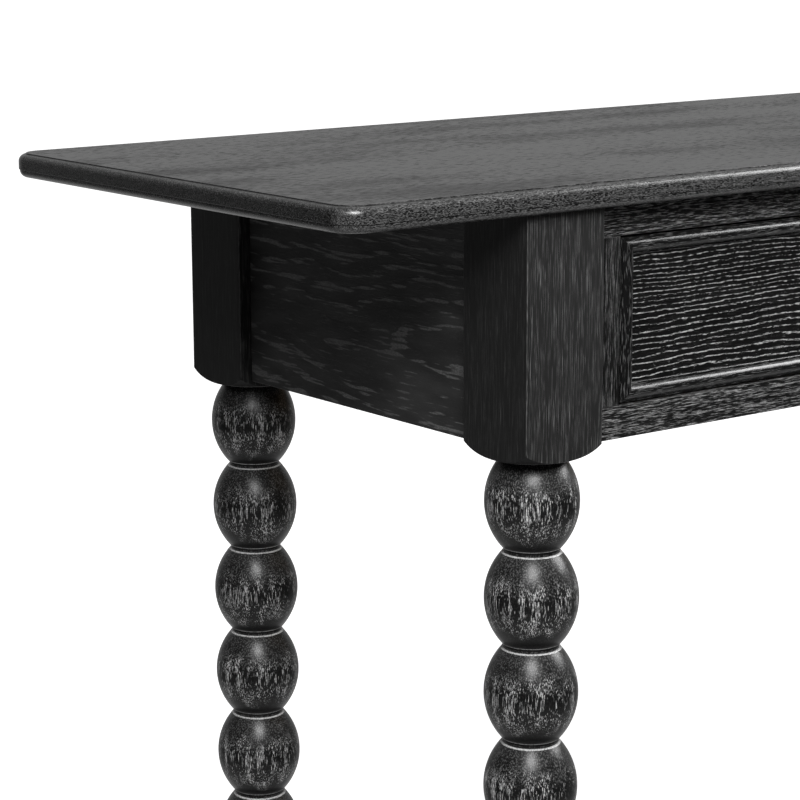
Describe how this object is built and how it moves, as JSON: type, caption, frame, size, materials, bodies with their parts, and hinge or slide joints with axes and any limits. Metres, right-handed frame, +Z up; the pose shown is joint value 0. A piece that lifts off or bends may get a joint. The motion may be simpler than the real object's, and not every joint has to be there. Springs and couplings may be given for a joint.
{
  "type": "console table",
  "caption": "Narrow console table on bobbin-turned legs, with a thin moulded top overhanging widely at the ends and a row of shallow drawers in the front.",
  "frame": {"origin": "on the floor at the middle of the table's footprint", "axes": "+X along the table's length, +Y from front to back (the drawers pull out towards -Y), +Z up"},
  "size_m": [1.524, 0.406, 0.762],
  "materials": {
    "black_oak": "open-pored black stain, rubbed through to grey on the grain and the edges",
    "drawer_wood": "clear satin lacquer on pale wood",
    "steel": "zinc-plated steel",
    "nylon": "black nylon"
  },
  "bodies": {
    "table": {"table_top": "black_oak", "leg_front_left": "black_oak", "leg_front_right": "black_oak", "leg_back_left": "black_oak", "leg_back_right": "black_oak", "end_apron_left": "black_oak", "end_apron_right": "black_oak", "back_apron": "black_oak", "top_rail": "black_oak", "bottom_rail": "black_oak", "side_stile_left": "black_oak", "side_stile_right": "black_oak", "middle_stile": "black_oak", "runner_left": "drawer_wood", "runner_centre": "drawer_wood", "runner_right": "drawer_wood", "guide_left": "drawer_wood", "guide_centre": "drawer_wood", "guide_right": "drawer_wood", "kicker_left": "drawer_wood", "kicker_centre": "drawer_wood", "kicker_right": "drawer_wood", "glue_block_front_left": "drawer_wood", "glue_block_front_right": "drawer_wood", "glue_block_back_left": "drawer_wood", "glue_block_back_right": "drawer_wood", "glue_block_screws": "steel", "top_clips": "steel", "top_clip_screws": "steel", "rail_screws": "steel", "drawer_stops": "drawer_wood", "foot_glides": "nylon"},
    "left_drawer": {"left_drawer_front": "black_oak", "left_drawer_bead_top": "black_oak", "left_drawer_bead_bottom": "black_oak", "left_drawer_bead_left": "black_oak", "left_drawer_bead_right": "black_oak", "left_drawer_side_left": "drawer_wood", "left_drawer_side_right": "drawer_wood", "left_drawer_back": "drawer_wood", "left_drawer_bottom": "drawer_wood", "left_drawer_knob": "black_oak", "left_drawer_knob_screw": "steel", "left_drawer_stop_button": "drawer_wood", "left_drawer_screws": "steel"},
    "right_drawer": {"right_drawer_front": "black_oak", "right_drawer_bead_top": "black_oak", "right_drawer_bead_bottom": "black_oak", "right_drawer_bead_left": "black_oak", "right_drawer_bead_right": "black_oak", "right_drawer_side_left": "drawer_wood", "right_drawer_side_right": "drawer_wood", "right_drawer_back": "drawer_wood", "right_drawer_bottom": "drawer_wood", "right_drawer_knob": "black_oak", "right_drawer_knob_screw": "steel", "right_drawer_stop_button": "drawer_wood", "right_drawer_screws": "steel"}
  },
  "joints": [
    {"name": "left_drawer_slide", "type": "slide", "parent": "table", "child": "left_drawer", "axis": [0, -1, 0], "range_m": [0, 0.2495]},
    {"name": "right_drawer_slide", "type": "slide", "parent": "table", "child": "right_drawer", "axis": [0, -1, 0], "range_m": [0, 0.2495]}
  ]
}
